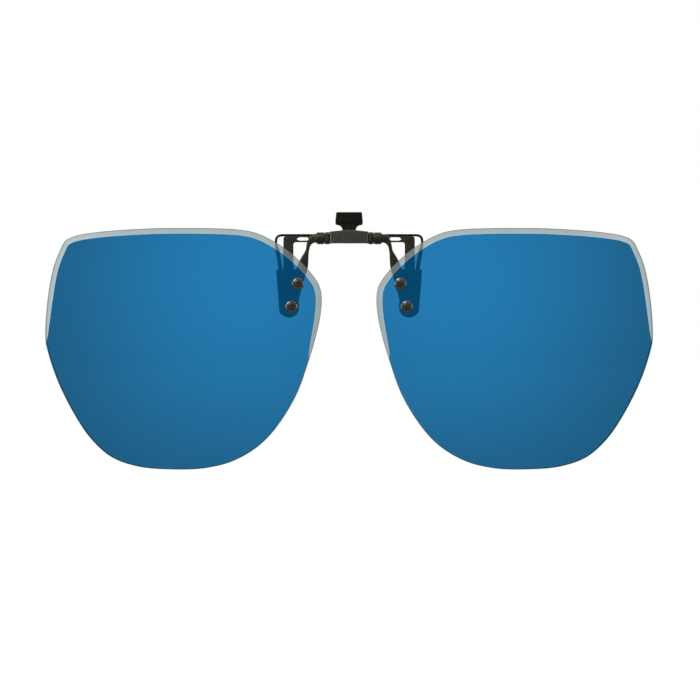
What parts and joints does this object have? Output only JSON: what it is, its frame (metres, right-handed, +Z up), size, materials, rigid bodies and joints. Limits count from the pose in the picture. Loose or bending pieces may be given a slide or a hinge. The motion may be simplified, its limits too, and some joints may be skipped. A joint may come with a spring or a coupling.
{
  "type": "clip on flip lenses",
  "caption": "Rimless mirrored sunglass lenses on a spring clip that grips spectacles and flips the lenses up on a friction hinge.",
  "frame": {"origin": "the grip point, midway between the front pads and the rear sleeves, on the plane of symmetry, 12 mm below the flip hinge's axle", "axes": "+X towards the wearer's left, +Y towards the wearer, +Z up; the mirrored fronts of the lenses face -Y"},
  "size_m": [0.132, 0.0114, 0.0559],
  "materials": {
    "mirror_lens": "tinted lens with a blue mirror coating; clear polished facet along the top, nose and temple edges",
    "olive_steel": "dark olive-black plated steel, satin",
    "black_steel": "black plated steel wire, satin",
    "gunmetal": "gunmetal plated, satin with fine horizontal brushing",
    "black_plastic": "moulded black plastic, semi-matt",
    "soft_vinyl": "soft black dipped vinyl, matt",
    "screw_steel": "brown-grey plated steel, polished",
    "washer_steel": "dark washer with a bright worn rim",
    "spring_steel": "bright spring steel"
  },
  "bodies": {
    "clip_frame": {"saddle_plate": "gunmetal", "front_thumb_cap": "black_plastic", "torsion_spring": "spring_steel", "left_detent_collar": "gunmetal", "left_wave_washer": "gunmetal", "left_front_claw": "olive_steel", "left_front_pad": "soft_vinyl", "left_claw_rivet": "gunmetal", "right_detent_collar": "gunmetal", "right_wave_washer": "gunmetal", "right_front_claw": "olive_steel", "right_front_pad": "soft_vinyl", "right_claw_rivet": "gunmetal"},
    "lens_carrier": {"axle_pin": "screw_steel", "left_lens": "mirror_lens", "left_lens_arm": "olive_steel", "left_upper_screw": "screw_steel", "left_upper_washer": "washer_steel", "left_upper_nut": "screw_steel", "left_lower_screw": "screw_steel", "left_lower_washer": "washer_steel", "left_lower_nut": "screw_steel", "right_lens": "mirror_lens", "right_lens_arm": "olive_steel", "right_upper_screw": "screw_steel", "right_upper_washer": "washer_steel", "right_upper_nut": "screw_steel", "right_lower_screw": "screw_steel", "right_lower_washer": "washer_steel", "right_lower_nut": "screw_steel"},
    "clip_lever": {"rear_lever": "gunmetal", "rear_thumb_pad": "black_plastic", "rear_claw_wire": "black_steel", "left_rear_sleeve": "soft_vinyl", "right_rear_sleeve": "soft_vinyl"}
  },
  "joints": [
    {"name": "flip_hinge", "type": "hinge", "parent": "clip_frame", "child": "lens_carrier", "pos_m": [0, -0.0035, 0.012], "axis": [-1, 0, 0], "range_deg": [0, 90]},
    {"name": "lever_pinch", "type": "hinge", "parent": "clip_frame", "child": "clip_lever", "pos_m": [0, -0.0035, 0.012], "axis": [1, 0, 0], "range_deg": [0, 25], "stiffness_Nm_per_rad": 0.03, "springref_deg": -28.65, "deforming": ["torsion_spring"]}
  ]
}
